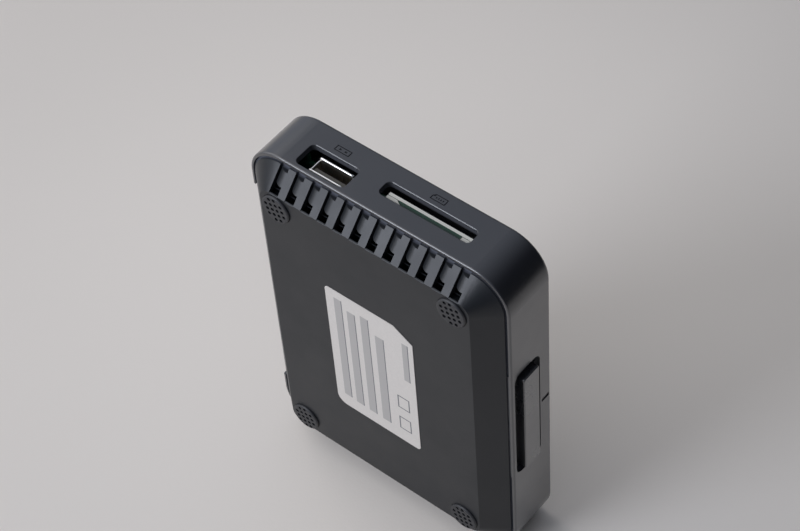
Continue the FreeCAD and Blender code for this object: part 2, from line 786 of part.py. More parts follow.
def switch_body():
    x1 = switch_front_x()
    body = block(x1 - switch_d, x1, near_y - switch_h, near_y,
                 mid_z - switch_w / 2, mid_z + switch_w / 2)
    collar = rod("x", (switch_y(), mid_z), switch_stem_d / 2 + 0.5, x1 - 0.1, x1 + 0.4)
    bore = rod("x", (switch_y(), mid_z), switch_stem_d / 2 + switch_stem_gap,
               x1 - switch_d + 0.6, x1 + 1)
    return body.fuse(collar).cut(bore)


def switch_plunger():
    return rod("x", (switch_y(), mid_z), switch_stem_d / 2,
               switch_front_x() - switch_d + 0.7 + bar_travel, switch_tip_x())


def switch_legs():
    """Four tinned legs, bent down from the body's ends onto the board."""
    x1 = switch_front_x()
    legs = []
    for x in (x1 - 0.9, x1 - switch_d + 0.4):
        for sign in (-1, 1):
            z = mid_z + sign * switch_w / 2
            z0, z1 = (z, z + 1.0) if sign > 0 else (z - 1.0, z)
            legs.append(block(x - switch_leg_w / 2, x + switch_leg_w / 2,
                              near_y - switch_leg_t, near_y, z0, z1))
    return Part.makeCompound(legs)


# ------------------------------------------------------------ the main board
def sunk_cutout(z, w, depth):
    """Cut-out for a socket that sits through the board at its left edge."""
    x1 = left_x + jack_setback + depth + usb_cut_gap
    return block(left_x - 1, x1, near_y - 1, far_y + 1,
                 z - w / 2 - usb_cut_gap, z + w / 2 + usb_cut_gap)


def main_board():
    x0, x1 = left_x + board_left, right_x - board_right
    z0 = wall_t + board_wall_gap
    z1 = case_l - wall_t - board_wall_gap
    board = prism_y(x0, x1, z0, z1, board_r, near_y, far_y)
    t0 = card_x - card_w / 2 + card_foot_left + card_tongue_gap
    t1 = card_x + card_w / 2 - card_foot_right - card_tongue_gap
    foot_near = near_y + card_foot_set
    outline = Part.makePolygon([Vector(x, y, z1 - 2) for x, y in (
        (t0 + card_foot_splay, near_y), (t1, near_y), (t1, far_y), (t0 + card_tongue_gap, far_y),
        (t0 + card_foot_splay, foot_near), (t0 + card_foot_splay, near_y))])
    tongue = Part.Face(outline).extrude(Vector(0, 0, case_l - board_top_gap - z1 + 2))
    board = board.fuse(tongue)
    tools = [rod("y", (x, z), screw_d / 2 + boss_wall + board_hole_gap, near_y - 1, far_y + 1)
             for x, z in foot_spots.values()]
    tools += [rod("y", (x, z), board_screw_d / 2 + 0.15, near_y - 1, far_y + 1)
              for x, z in standoff_spots]
    usb_half = usb_w / 2 + usb_cut_gap
    tools.append(block(usb_x - usb_half, usb_x + usb_half, near_y - 1, far_y + 1,
                       case_l - usb_mouth - usb_d - usb_cut_gap, case_l))
    tools.append(block(usb_x - usb_half - board_notch_w, usb_x, near_y - 1, far_y + 1,
                       z1 - board_notch_d, case_l))
    reach = guide_x0 - peg_past - bar_travel - peg_clear
    wide = peg_d / 2 + peg_clear
    for sign in (-1, 1):
        z = mid_z + sign * peg_spacing / 2
        tools.append(block(reach, right_x, near_y - 1, far_y + 1, z - wide, z + wide))
    tools.append(sunk_cutout(coax_z, coax_body, coax_d))
    tools.append(sunk_cutout(dc_z, dc_w, dc_d))
    return board.cut(tools)


# --------------------------------------------------------------- USB socket
def usb_frame():
    x0 = usb_x - usb_w / 2
    y0 = rim_y + usb_axis - usb_h / 2
    z1 = case_l - usb_mouth
    return x0, x0 + usb_w, y0, y0 + usb_h, z1 - usb_d, z1


def usb_shell():
    """Folded steel shell with spring tongues pressed in its plates and solder ears."""
    x0, x1, y0, y1, z0, z1 = usb_frame()
    s = usb_sheet
    shell = prism_z(x0, x1, y0, y1, 0.6, z0, z1)
    shell = shell.cut(prism_z(x0 + s, x1 - s, y0 + s, y1 - s, 0.35, z0 + s, z1 + 1))
    slits = []
    mid = (x0 + x1) / 2
    for dx in (-3.2, 3.2):
        for edge in (-1, 1):
            slits.append(block(mid + dx + edge * 1.1 - 0.12, mid + dx + edge * 1.1 + 0.12,
                               y0 - 1, y1 + 1, z1 - 7.2, z1 - 2.2))
    for a, b in ((x0 - 1, x0 + usb_lip_end), (x1 - usb_lip_end, x1 + 1)):
        slits.append(block(a, b, y0 - 1, y1 + 1, z1 - usb_side_drop, z1 + 1))
    shell = shell.cut(slits)
    extras = []
    for y_out, y_in in ((y0 - usb_lip, y0 + s), (y1 - s, y1 + usb_lip)):
        extras.append(block(x0 + usb_lip_end, x1 - usb_lip_end, y_out, y_in,
                            z1 - usb_lip_l, z1))
    for a, b in ((x0 - usb_ear_w, x0 + s / 2), (x1 - s / 2, x1 + usb_ear_w)):
        for z in (z0 + 2.0, z1 - 6.5):
            extras.append(block(a, b, near_y - s, near_y, z - usb_ear_l / 2, z + usb_ear_l / 2))
    return shell.fuse(extras)


def usb_tongue_y():
    return rim_y + usb_axis - usb_h / 2 + usb_sheet + usb_tongue_gap


def usb_insulator():
    x0, x1, y0, y1, z0, z1 = usb_frame()
    s = usb_sheet + 0.05
    mid = (x0 + x1) / 2
    base = prism_z(x0 + s, x1 - s, y0 + s, y1 - s, 0.4, z0 + usb_sheet, z0 + 3.6)
    y = usb_tongue_y()
    tongue = block(mid - usb_tongue_w / 2, mid + usb_tongue_w / 2, y, y + usb_tongue_t,
                   z0 + 3.4, z0 + 3.6 + usb_tongue_l)
    return base.fuse(tongue)


def usb_contacts():
    x0, x1, y0, y1, z0, z1 = usb_frame()
    mid = (x0 + x1) / 2
    y = usb_tongue_y() + usb_tongue_t
    strips = []
    for k in range(4):
        x = mid + (k - 1.5) * usb_contact_pitch
        strips.append(block(x - usb_contact_w / 2, x + usb_contact_w / 2, y, y + usb_contact_t,
                            z0 + 3.6, z0 + 3.6 + usb_tongue_l - 0.9))
    return Part.makeCompound(strips)


# ---------------------------------------------------------------- card slot
def card_box():
    x0 = card_x - card_w / 2
    z1 = case_l - board_top_gap
    return x0, x0 + card_w, z1 - card_d, z1


def card_frame():
    """Moulded socket body: floor, side rails and two ends that wrap the board."""
    x0, x1, z0, z1 = card_box()
    top = far_y + card_base_t + card_slot_h
    base = block(x0, x1, far_y, far_y + card_base_t, z0, z1)
    rails = [block(x0, x0 + card_side_t, far_y, top, z0, case_l - card_cover_set),
             block(x1 - card_side_t, x1, far_y, top, z0, case_l - card_cover_set),
             block(x0, x1, far_y, top, z0, z0 + 1.6)]
    tab_z = case_l - wall_t - board_wall_gap + 0.1
    root_z = tab_z + card_foot_root
    near, far = near_y + card_foot_set, far_y - card_foot_slit
    left = Part.makePolygon([Vector(x0, near, tab_z), Vector(x0, far, tab_z),
                             Vector(x0 + card_foot_left, far, tab_z),
                             Vector(x0 + card_foot_left + card_foot_splay, near, tab_z),
                             Vector(x0, near, tab_z)])
    ends = [Part.Face(left).extrude(Vector(0, 0, z1 - tab_z)),
            block(x1 - card_foot_right, x1, near, far, tab_z, z1),
            block(x0, x0 + card_foot_left, near, far_y + card_base_t, tab_z, root_z),
            block(x1 - card_foot_right, x1, near, far_y + card_base_t, tab_z, root_z)]
    return base.fuse(rails + ends)


def card_cover():
    """Stainless cover over the slot, with two stamped springs."""
    x0, x1, z0, z1 = card_box()
    y = far_y + card_base_t + card_slot_h
    plate = block(x0, x1, y, y + card_sheet, z0, case_l - card_cover_set)
    slots = []
    mid = (x0 + x1) / 2
    for dx in (-7.5, 7.5):
        slots.append(block(mid + dx - 1.6, mid + dx - 1.3, y - 1, y + 1, z0 + 6, z0 + 17))
        slots.append(block(mid + dx + 1.3, mid + dx + 1.6, y - 1, y + 1, z0 + 6, z0 + 17))
        slots.append(block(mid + dx - 1.6, mid + dx + 1.6, y - 1, y + 1, z0 + 16.7, z0 + 17))
    return plate.cut(slots)


def card_contacts():
    x0, x1, z0, z1 = card_box()
    mid = (x0 + x1) / 2
    y = far_y + card_base_t
    strips = []
    for k in range(card_contact_n):
        x = mid + (k - (card_contact_n - 1) / 2) * card_contact_pitch
        strips.append(block(x - card_contact_w / 2, x + card_contact_w / 2, y,
                            y + card_contact_t, z0 + 1.6, z0 + 1.6 + card_contact_l))
    return Part.makeCompound(strips)


# -------------------------------------------------------- the connector bay
def jack_front():
    return left_x + jack_setback


def jack_axis():
    return far_y + jack_body_h / 2 + jack_lift


def hdmi_axis():
    return far_y + hdmi_h / 2


def rear_panel():
    """Flat panel behind the bay, drilled for each connector."""
    plate = panel_box(0)
    x0, x1 = left_x, left_x + wall_t + panel_t + 2 * panel_gap + 1
    g = jack_hole_gap
    tools = [
        prism_x(hdmi_axis() - hdmi_h / 2 - g, hdmi_axis() + hdmi_h / 2 + g,
                hdmi_z - hdmi_w / 2 - g, hdmi_z + hdmi_w / 2 + g, 0.8, x0, x1),
        rod("x", (jack_axis(), av_z), jack_bush_d / 2 + g, x0, x1),
        rod("x", (jack_axis(), component_z), jack_bush_d / 2 + g, x0, x1),
        rod("x", (rim_y + mid_axis, coax_z), coax_ring_d / 2 + g, x0, x1),
        rod("x", (rim_y + mid_axis, dc_z), dc_bore_d / 2 + 0.9 + g, x0, x1),
    ]
    return plate.cut(tools)


def hdmi_shell():
    """Steel shell of the digital video socket, with its lower corners drawn in."""
    x0, x1 = jack_front(), jack_front() + hdmi_d
    y0, y1 = far_y, far_y + hdmi_h

    def section(x, inset):
        w = hdmi_w / 2 - inset
        n = 1.6
        outline = [(y1 - inset, w), (y1 - inset, -w), (y0 + n + inset * 0.4, -w),
                   (y0 + inset, -w + n), (y0 + inset, w - n), (y0 + n + inset * 0.4, w),
                   (y1 - inset, w)]
        return Part.Face(Part.makePolygon([Vector(x, a, hdmi_z + b) for a, b in outline]))

    shell = section(x0, 0).extrude(Vector(x1 - x0, 0, 0))
    hollow = section(x0 - 1, hdmi_sheet).extrude(Vector(x1 - x0 + 1 - hdmi_sheet, 0, 0))
    return shell.cut(hollow)


def hdmi_tongue():
    x1 = jack_front() + hdmi_d - hdmi_sheet
    y = hdmi_axis() + 0.3
    base = block(x1 - 2.6, x1, far_y + hdmi_sheet + 0.1, far_y + hdmi_h - hdmi_sheet - 0.05,
                 hdmi_z - 5.6, hdmi_z + 5.6)
    tongue = block(jack_front() + 1.6, x1 - 2.4, y - hdmi_tongue_t / 2, y + hdmi_tongue_t / 2,
                   hdmi_z - hdmi_tongue_w / 2, hdmi_z + hdmi_tongue_w / 2)
    return base.fuse(tongue)


def jack_body(z):
    x0 = left_x + wall_t + panel_gap + panel_t + panel_gap
    x1 = jack_front() + jack_body_d
    body = block(x0, x1, far_y, far_y + jack_body_h, z - jack_body_w / 2, z + jack_body_w / 2)
    return body.cut(rod("x", (jack_axis(), z), jack_bore_d / 2 + 0.25, x0 - 1, x1 - 1))


def jack_bush(z):
    x0 = jack_front()
    x1 = left_x + wall_t + panel_gap + panel_t + panel_gap
    tube = rod("x", (jack_axis(), z), jack_bush_d / 2, x0, x1)
    return tube.cut(rod("x", (jack_axis(), z), jack_bore_d / 2, x0 - 1, x1 + 1))


def coax_body_part():
    x0 = left_x + wall_t + panel_gap + panel_t + panel_gap
    x1 = jack_front() + coax_d
    y = rim_y + mid_axis
    body = block(x0, x1, y - coax_body / 2, y + coax_body / 2,
                 coax_z - coax_body / 2, coax_z + coax_body / 2)
    body = body.cut(rod("x", (y, coax_z), coax_ring_d / 2, x0 - 1, x0 + 2.5))
    lugs = [block(x0 + 2, x1 - 1, near_y - 0.8, near_y, coax_z + s0, coax_z + s1)
            for s0, s1 in ((coax_body / 2 - 0.2, coax_body / 2 + 1.2),
                           (-coax_body / 2 - 1.2, -coax_body / 2 + 0.2))]
    return body.fuse(lugs).cut(rod("x", (y, coax_z), coax_bore_d / 2 + 0.5, x0, x1 - 1))


def coax_ring():
    y = rim_y + mid_axis
    x0 = jack_front() - 0.3
    x1 = left_x + wall_t + panel_gap + panel_t + panel_gap + 2.5
    ring = rod("x", (y, coax_z), coax_ring_d / 2, x0, x1)
    return ring.cut(rod("x", (y, coax_z), coax_ring_d / 2 - coax_land, x0 - 1, x1 + 1))


def coax_insert():
    """Coloured insulator inside the ring, with the bore for the centre pin."""
    y = rim_y + mid_axis
    x0 = jack_front() + 0.4
    x1 = left_x + wall_t + panel_gap + panel_t + panel_gap + 2.5
    plug = rod("x", (y, coax_z), coax_ring_d / 2 - coax_land, x0, x1)
    return plug.cut(rod("x", (y, coax_z), coax_bore_d / 2, x0 - 1, x1 + 1))


def dc_body():
    x0 = jack_front()
    x1 = x0 + dc_d
    y = rim_y + mid_axis
    shoulder = left_x + wall_t + panel_gap + panel_t + panel_gap
    body = block(shoulder, x1, y - dc_h / 2, y + dc_h / 2, dc_z - dc_w / 2, dc_z + dc_w / 2)
    nose = rod("x", (y, dc_z), dc_bore_d / 2 + 0.9, x0, shoulder + 0.2)
    lugs = [block(shoulder + 2, x1 - 1, near_y - 0.8, near_y, dc_z + s0, dc_z + s1)
            for s0, s1 in ((dc_w / 2 - 0.2, dc_w / 2 + 1.2), (-dc_w / 2 - 1.2, -dc_w / 2 + 0.2))]
    bore = rod("x", (y, dc_z), dc_bore_d / 2, x0 - 1, x0 + dc_bore_l)
    return body.fuse([nose] + lugs).cut(bore)


def dc_pin():
    y = rim_y + mid_axis
    x0 = jack_front() + 1.2
    x1 = jack_front() + dc_bore_l
    pin = rod("x", (y, dc_z), dc_pin_d / 2, x0, x1)
    return pin.makeFillet(dc_pin_d * 0.35, edges_at(pin, "x", x0))


# ------------------------------------------------------- parts on the board
def flat_pack(x, z, w, l, t, face):
    """A moulded package centred at (x, z) on the near (-1) or far (+1) board face."""
    y0, y1 = (near_y - t, near_y) if face < 0 else (far_y, far_y + t)
    return block(case_x + x - w / 2, case_x + x + w / 2, y0, y1, z - l / 2, z + l / 2)


def from_left(places):
    """Places given in from the left side wall, as places across from the mid plane."""
    return [(x - case_w / 2, z) for x, z in places]


def gull_legs(x, z, w, l, n, face):
    """Rows of short leads along the two long sides of a package."""
    legs = []
    y0, y1 = (near_y - 0.15, near_y) if face < 0 else (far_y, far_y + 0.15)
    pitch = (l - 1.0) / (n - 1)
    for sign in (-1, 1):
        edge = case_x + x + sign * w / 2
        x0, x1 = (edge, edge + 1.0) if sign > 0 else (edge - 1.0, edge)
        for k in range(n):
            zk = z + (k - (n - 1) / 2) * pitch
            legs.append(block(x0, x1, y0, y1, zk - pitch * 0.22, zk + pitch * 0.22))
    return legs


def heatsink():
    y1 = near_y - cpu_t - pad_t
    half = sink_w / 2
    x, z = case_x + cpu_x, cpu_z
    base = block(x - half, x + half, y1 - sink_base_t, y1, z - half, z + half)
    count = int((sink_w - fin_t) / fin_pitch) + 1
    first = -(count - 1) / 2 * fin_pitch
    fins = [block(x + first + k * fin_pitch - fin_t / 2, x + first + k * fin_pitch + fin_t / 2,
                  y1 - sink_h, y1 - sink_base_t + 0.1, z - half, z + half) for k in range(count)]
    return base.fuse(fins)


def power_coils():
    coils = []
    for x, z in from_left(coil_at):
        body = flat_pack(x, z, coil_w, coil_w, coil_h, -1)
        groove = rod("y", (case_x + x, z), coil_core_d / 2 + 0.5, near_y - coil_h - 1,
                     near_y - coil_h + 0.35)
        core = rod("y", (case_x + x, z), coil_core_d / 2, near_y - coil_h, near_y - coil_h + 0.4)
        coils.append(body.cut(groove).fuse(core))
    return Part.makeCompound(coils)


def bulk_capacitors():
    cans = []
    for x, z in from_left(can_at):
        base = flat_pack(x, z, can_d + 0.3, can_d + 0.3, can_base_t, -1)
        can = rod("y", (case_x + x, z), can_d / 2, near_y - can_h, near_y - can_base_t + 0.1)
        can = can.makeFillet(0.5, edges_at(can, "y", near_y - can_h))
        cans.append(base.fuse(can))
    return Part.makeCompound(cans)


def chip_parts():
    """Small resistors and capacitors in straight rows on the near face."""
    chips = []
    for (x, up), count in zip(chip_rows, chip_counts):
        for k in range(count):
            chips.append(flat_pack(x + k * chip_pitch, mid_z + up, chip_w, chip_l, chip_h, -1))
    return Part.makeCompound(chips)


def leads():
    """Leads of the packages that have them, soldered to the board."""
    legs = gull_legs(flash_x, flash_z, flash_w, flash_l, 24, -1)
    legs += gull_legs(dac_x, dac_z, dac_w, dac_l, 8, -1)
    for x, z in from_left(reg_at):
        legs += gull_legs(x, z, reg_w, reg_l, 3, -1)
    return Part.makeCompound(legs)


def ir_receiver():
    z = mid_z + ir_z_off
    x1 = right_x - board_right
    body = block(x1 - ir_d, x1, far_y, far_y + ir_h, z - ir_w / 2, z + ir_w / 2)
    dome = Part.makeSphere(ir_dome_r, Vector(x1 - 0.4, far_y + ir_h / 2, z))
    return body.fuse(dome)


def status_led():
    z = mid_z + led_z_off
    x1 = right_x - board_right
    return block(x1 - led_d, x1, far_y, far_y + led_h, z - led_w / 2, z + led_w / 2)


# ---------------------------------------------------------------- the parts
def main():
    os.makedirs("parts", exist_ok=True)
    save("top_shell", top_shell())
    save("bottom_cover", bottom_cover())
    save("rear_panel", rear_panel())
    for name, (x, z) in foot_spots.items():
        save(name, foot(x, z))
    save("rating_label", rating_label())
    save("case_screws", case_screws())
    save("power_bar", power_bar())
    save("switch_body", switch_body())
    save("switch_plunger", switch_plunger())
    save("switch_legs", switch_legs())
    save("main_board", main_board())
    save("board_screws", board_screws())
    save("usb_shell", usb_shell())
    save("usb_insulator", usb_insulator())
    save("usb_contacts", usb_contacts())
    save("card_frame", card_frame())
    save("card_cover", card_cover())
    save("card_contacts", card_contacts())
    save("hdmi_shell", hdmi_shell())
    save("hdmi_tongue", hdmi_tongue())
    save("av_jack_body", jack_body(av_z))
    save("av_jack_bush", jack_bush(av_z))
    save("component_jack_body", jack_body(component_z))
    save("component_jack_bush", jack_bush(component_z))
    save("coax_body", coax_body_part())
    save("coax_ring", coax_ring())
    save("coax_insert", coax_insert())
    save("dc_body", dc_body())
    save("dc_pin", dc_pin())
    save("processor", flat_pack(cpu_x, cpu_z, cpu_w, cpu_w, cpu_t, -1))
    save("thermal_pad", block(case_x + cpu_x - cpu_w / 2 + 1, case_x + cpu_x + cpu_w / 2 - 1,
                              near_y - cpu_t - pad_t, near_y - cpu_t,
                              cpu_z - cpu_w / 2 + 1, cpu_z + cpu_w / 2 - 1))
    save("heatsink", heatsink())
    save("memory_chips", Part.makeCompound(
        [flat_pack(x, ram_z, ram_w, ram_l, ram_t, -1) for x in ram_x]))
    save("flash_chip", flat_pack(flash_x, flash_z, flash_w, flash_l, flash_t, -1))
    save("audio_chip", flat_pack(dac_x, dac_z, dac_w, dac_l, dac_t, -1))
    save("regulators", Part.makeCompound(
        [flat_pack(x, z, reg_w, reg_l, reg_t, -1) for x, z in from_left(reg_at)]))
    save("chip_leads", leads())
    save("crystal", flat_pack(crystal_x, crystal_z, crystal_w, crystal_l, crystal_h, -1))
    save("power_coils", power_coils())
    save("bulk_capacitors", bulk_capacitors())
    save("chip_parts", chip_parts())
    save("ir_receiver", ir_receiver())
    save("status_led", status_led())


main()
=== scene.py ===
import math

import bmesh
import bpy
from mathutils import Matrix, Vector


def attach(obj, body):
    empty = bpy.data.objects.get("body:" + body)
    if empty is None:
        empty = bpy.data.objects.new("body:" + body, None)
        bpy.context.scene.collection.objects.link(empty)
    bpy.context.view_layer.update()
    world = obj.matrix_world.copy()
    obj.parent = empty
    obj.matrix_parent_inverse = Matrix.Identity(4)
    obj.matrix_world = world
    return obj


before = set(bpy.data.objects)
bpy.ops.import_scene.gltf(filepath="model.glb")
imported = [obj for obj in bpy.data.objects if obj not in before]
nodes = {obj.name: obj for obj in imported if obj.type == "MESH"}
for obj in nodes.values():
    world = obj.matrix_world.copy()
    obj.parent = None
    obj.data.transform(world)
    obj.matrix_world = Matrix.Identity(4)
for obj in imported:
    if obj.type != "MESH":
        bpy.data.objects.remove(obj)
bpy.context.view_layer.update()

# %% [markdown]
# A small solid-state media player stands on one short edge.  Its hard parts
# come ready from the CAD model, so this lesson is about looking at each of
# them, giving it the finish that the real material has, and adding the few
# things that only show at arm's length.  Everything is in metres.

mm = 0.001
bpy.ops.object.select_all(action="DESELECT")
print("CAD nodes:", len(nodes))

# %% [markdown]
# The camera looks down on the socket end, the bottom cover and the bar side.
# It is given as a place, two viewing angles and a small roll, which is how a
# hand-held camera differs from a tripod.

# %% Camera
camera_at = Vector((287.18, -310.10, 616.59)) * mm
azimuth, elevation, roll = (math.radians(a) for a in (42.588, 50.546, -4.961))
back = Vector((math.sin(azimuth) * math.cos(elevation),
               -math.cos(azimuth) * math.cos(elevation), math.sin(elevation)))
level = Vector((math.cos(azimuth), math.sin(azimuth), 0))
upright = back.cross(level)
right = math.cos(roll) * level + math.sin(roll) * upright
up = -math.sin(roll) * level + math.cos(roll) * upright
camera_data = bpy.data.cameras.new("camera")
camera_data.lens, camera_data.sensor_width = 103.47, 36.0
camera_data.clip_start, camera_data.clip_end = 0.01, 50.0
camera = bpy.data.objects.new("camera", camera_data)
turn = Matrix((right, up, back)).transposed().to_4x4()
camera.matrix_world = Matrix.Translation(camera_at) @ turn
bpy.context.scene.collection.objects.link(camera)
bpy.context.scene.camera = camera
bpy.context.scene.view_settings.view_transform = "Standard"
print("camera at", [round(v, 3) for v in camera_at])

# %% [markdown]
# Colours are written as the hex values that a paint program shows.  Blender
# mixes light in linear values, so one function turns one into the other.  One
# more function adds a shader node, sets it and links it, and every material
# below is written with it.

# %% Colour and node helpers
def linear(code, strength=1.0):
    """A hex colour as Blender's linear RGBA."""
    code = code.lstrip("#")
    channels = [int(code[i:i + 2], 16) / 255 for i in (0, 2, 4)]
    values = [c / 12.92 if c <= 0.04045 else ((c + 0.055) / 1.055) ** 2.4 for c in channels]
    return (*[v * strength for v in values], 1.0)


def add(tree, kind, inputs=None, **settings):
    """Adds a node; an input takes a value or another node's output socket."""
    made = tree.nodes.new(kind)
    for name, value in settings.items():
        setattr(made, name, value)
    for key, value in (inputs or {}).items():
        if isinstance(value, bpy.types.NodeSocket):
            tree.links.new(value, made.inputs[key])
        else:
            made.inputs[key].default_value = value
    return made


def new_material(name):
    """An empty material with its output node; returns both and the tree."""
    made = bpy.data.materials.new(name)
    made.use_nodes = True
    tree = made.node_tree
    tree.nodes.clear()
    return made, tree, add(tree, "ShaderNodeOutputMaterial")


def place(tree, shift=(0, 0, 0), scale=(1, 1, 1)):
    """Object coordinates in metres, moved and stretched for a pattern."""
    where = add(tree, "ShaderNodeTexCoord")
    return add(tree, "ShaderNodeMapping", {"Vector": where.outputs["Object"],
               "Location": shift, "Scale": scale}).outputs["Vector"]


print("black is", linear("#000000"), "and white is", linear("#ffffff"))

# %% [markdown]
# The studio is a wide pale table under a pale sky, with two large soft lamps:
# one low in front, which draws the light along the ribs, and a wider one high
# on the left.  The table's colour is painted darker away from the player, a
# painted falloff of the light, and the table takes the player's soft shadow.
# The sky that the camera sees is plain; the sky that lights the player is
# cooler, and darker towards the right, as daylight from a window is.

# %% Table, sky and lamps
falloff_middle = (0.04, -0.085, 0)         # m, added to bring the fade's middle to zero
painted_falloff_starts, painted_falloff_ends = 0.06, 0.23      # m from that middle
painted_falloff_share = 0.22                        # of the painted darker tone, at the far end


def build_table():
    bpy.ops.mesh.primitive_plane_add(size=2.4, location=(-0.75, -0.1, 0))
    table = bpy.context.object
    table.name = "table"
    bpy.ops.object.transform_apply(location=True)
    paper, tree, output = new_material("matt_paper_table")
    fibres = add(tree, "ShaderNodeTexNoise", {"Vector": place(tree), "Scale": 900.0,
                 "Detail": 3.0}).outputs["Fac"]
    clouds = add(tree, "ShaderNodeTexNoise", {"Vector": place(tree), "Scale": 7.0}).outputs["Fac"]
    tone = add(tree, "ShaderNodeMix", {"Factor": clouds, 6: linear("#eae3da"),
               7: linear("#eee7de")}, data_type="RGBA").outputs[2]
    away = add(tree, "ShaderNodeVectorMath", {0: place(tree, falloff_middle)},
               operation="LENGTH").outputs["Value"]
    painted_falloff = add(tree, "ShaderNodeMapRange", {"Value": away, "From Min": painted_falloff_starts,
                 "From Max": painted_falloff_ends, "To Max": painted_falloff_share},
                 interpolation_type="SMOOTHSTEP").outputs[0]
    # Painted falloff: away from the player the paper is painted towards the darker #8f8d8c,
    # standing in for light that fades.
    tone = add(tree, "ShaderNodeMix", {"Factor": painted_falloff, 6: tone, 7: linear("#8f8d8c")},
               data_type="RGBA").outputs[2]
    bump = add(tree, "ShaderNodeBump", {"Height": fibres, "Strength": 0.15,
               "Distance": 0.0002}).outputs["Normal"]
    shader = add(tree, "ShaderNodeBsdfPrincipled", {"Base Color": tone, "Roughness": 0.85,
                 "Specular IOR Level": 0.2, "Normal": bump})
    tree.links.new(shader.outputs[0], output.inputs[0])
    table.data.materials.append(paper)


def build_sky():
    world = bpy.data.worlds.new("pale_sky")
    bpy.context.scene.world = world
    world.use_nodes = True
    tree = world.node_tree
    tree.nodes.clear()
    rays = add(tree, "ShaderNodeLightPath")
    where = add(tree, "ShaderNodeTexCoord").outputs["Generated"]
    facing = add(tree, "ShaderNodeVectorMath", {0: where, 1: Vector((-0.75, -0.25, 0.6))},
                 operation="DOT_PRODUCT").outputs["Value"]
    share = add(tree, "ShaderNodeMapRange", {"Value": facing, "From Min": -0.35, "From Max": 0.9},
                interpolation_type="SMOOTHSTEP").outputs[0]
    cool = add(tree, "ShaderNodeMix", {"Factor": share, 6: linear("#3c3e43"),
               7: linear("#d3dae9")}, data_type="RGBA").outputs[2]
    lights = add(tree, "ShaderNodeBackground", {"Color": cool, "Strength": 0.69})
    seen = add(tree, "ShaderNodeBackground", {"Color": linear("#c9c7c6"), "Strength": 1.0})
    mixed = add(tree, "ShaderNodeMixShader", {0: rays.outputs["Is Camera Ray"],
                1: lights.outputs[0], 2: seen.outputs[0]})
    add(tree, "ShaderNodeOutputWorld", {"Surface": mixed.outputs[0]})


def add_lamp(name, at, aim, size, watts, code):
    data = bpy.data.lights.new(name, "AREA")
    data.shape, data.size, data.energy = "DISK", size, watts
    data.color = linear(code)[:3]
    lamp = bpy.data.objects.new(name, data)
    lamp.location = at
    lamp.rotation_euler = (Vector(aim) - Vector(at)).to_track_quat("-Z", "Y").to_euler()
    bpy.context.scene.collection.objects.link(lamp)


build_table()
build_sky()
add_lamp("window_lamp", (-0.40, -0.90, 0.60), (0, 0, 0.06), 0.6, 6.5, "#eef3ff")
add_lamp("side_lamp", (-0.95, -0.15, 0.85), (0, 0, 0.05), 1.5, 5.8, "#fffaf4")
print("studio ready")

# %% [markdown]
# A mould is polished only where the eye goes.  Inside the case, deep in the
# vents and in the moat around the cover's field the colour is painted paler, a
# painted fill light that lifts the shade there; there, in the slots and on the
# edges of the socket windows the plastic is also matt.  Each such place is
# found from its distance to the case's middle, so the matt finish and the
# painted fill follow the shape with nothing painted by hand.

# %% Where the shade is painted paler and the plastic is matt
case_middle = (0.825, 0.0, -65.75)       # mm, added to bring the case's middle to zero
case_half = (47.25, 12.975, 65.75)       # mm
case_corner = 12.7                       # mm, seen from the cover's side
rim_level = -5.725                       # mm, the open edge of the top shell
moat_level = -5.85                       # mm, just above that edge
border_slope = 0.9545                    # fall of the cover's border per mm of length
border_top = 129.7 - 65.75               # mm, where the border meets the rim
vent_level = 5.925 + border_slope * border_top
vents_from, vents_half = 57.0, 36.0      # mm, start and half length of the row of vents
windows_half = 34.0                      # mm, the straight part of the socket end
windows_from = -4.85                     # mm, nearest edge of the socket windows


def ramp(tree, value, low, high):
    """0 below one value, 1 above the other and a straight ramp between."""
    return add(tree, "ShaderNodeMapRange", {"Value": value, "From Min": low,
               "From Max": high}).outputs[0]


def combine(tree, operation, *values):
    """Folds masks or numbers together with one arithmetic operation."""
    whole = values[0]
    for value in values[1:]:
        whole = add(tree, "ShaderNodeMath", {0: whole, 1: value},
                    operation=operation).outputs[0]
    return whole


def case_axes(tree):
    """Distances in mm from the case's middle: across, through and along."""
    return add(tree, "ShaderNodeSeparateXYZ", {0: place(tree, case_middle,
               (1000, 1000, 1000))}).outputs


def side_fill_and_matt(tree):
    """Two masks: a painted fill light, paler, on the walls inside the case; and matt there and on
    the windows' edges.
    """
    across, through, along = case_axes(tree)
    corner = []
    for value, half in ((across, case_half[0]), (along, case_half[2])):
        size = add(tree, "ShaderNodeMath", {0: value}, operation="ABSOLUTE").outputs[0]
        over = combine(tree, "SUBTRACT", size, half - case_corner)
        corner.append(combine(tree, "MAXIMUM", over, 0.0))
    squares = [combine(tree, "MULTIPLY", c, c) for c in corner]
    reach = add(tree, "ShaderNodeMath", {0: combine(tree, "ADD", *squares)},
                operation="SQRT").outputs[0]
    walls = ramp(tree, reach, case_corner - 0.45, case_corner - 0.75)
    lid = ramp(tree, through, case_half[1] - 0.6, case_half[1] - 0.9)
    rim = ramp(tree, through, rim_level + 0.1, rim_level + 0.5)
    inside = combine(tree, "MULTIPLY", walls, lid, rim)
    straight = add(tree, "ShaderNodeMath", {0: across, 1: 0.0, 2: windows_half},
                   operation="COMPARE").outputs[0]
    end = case_half[2]
    window_edges = combine(tree, "MULTIPLY", straight, ramp(tree, along, end - 0.01, end - 0.06),
                           ramp(tree, along, end - 0.75, end - 0.45),
                           ramp(tree, through, windows_from - 0.05, windows_from + 0.05))
    return inside, combine(tree, "MAXIMUM", inside, window_edges)


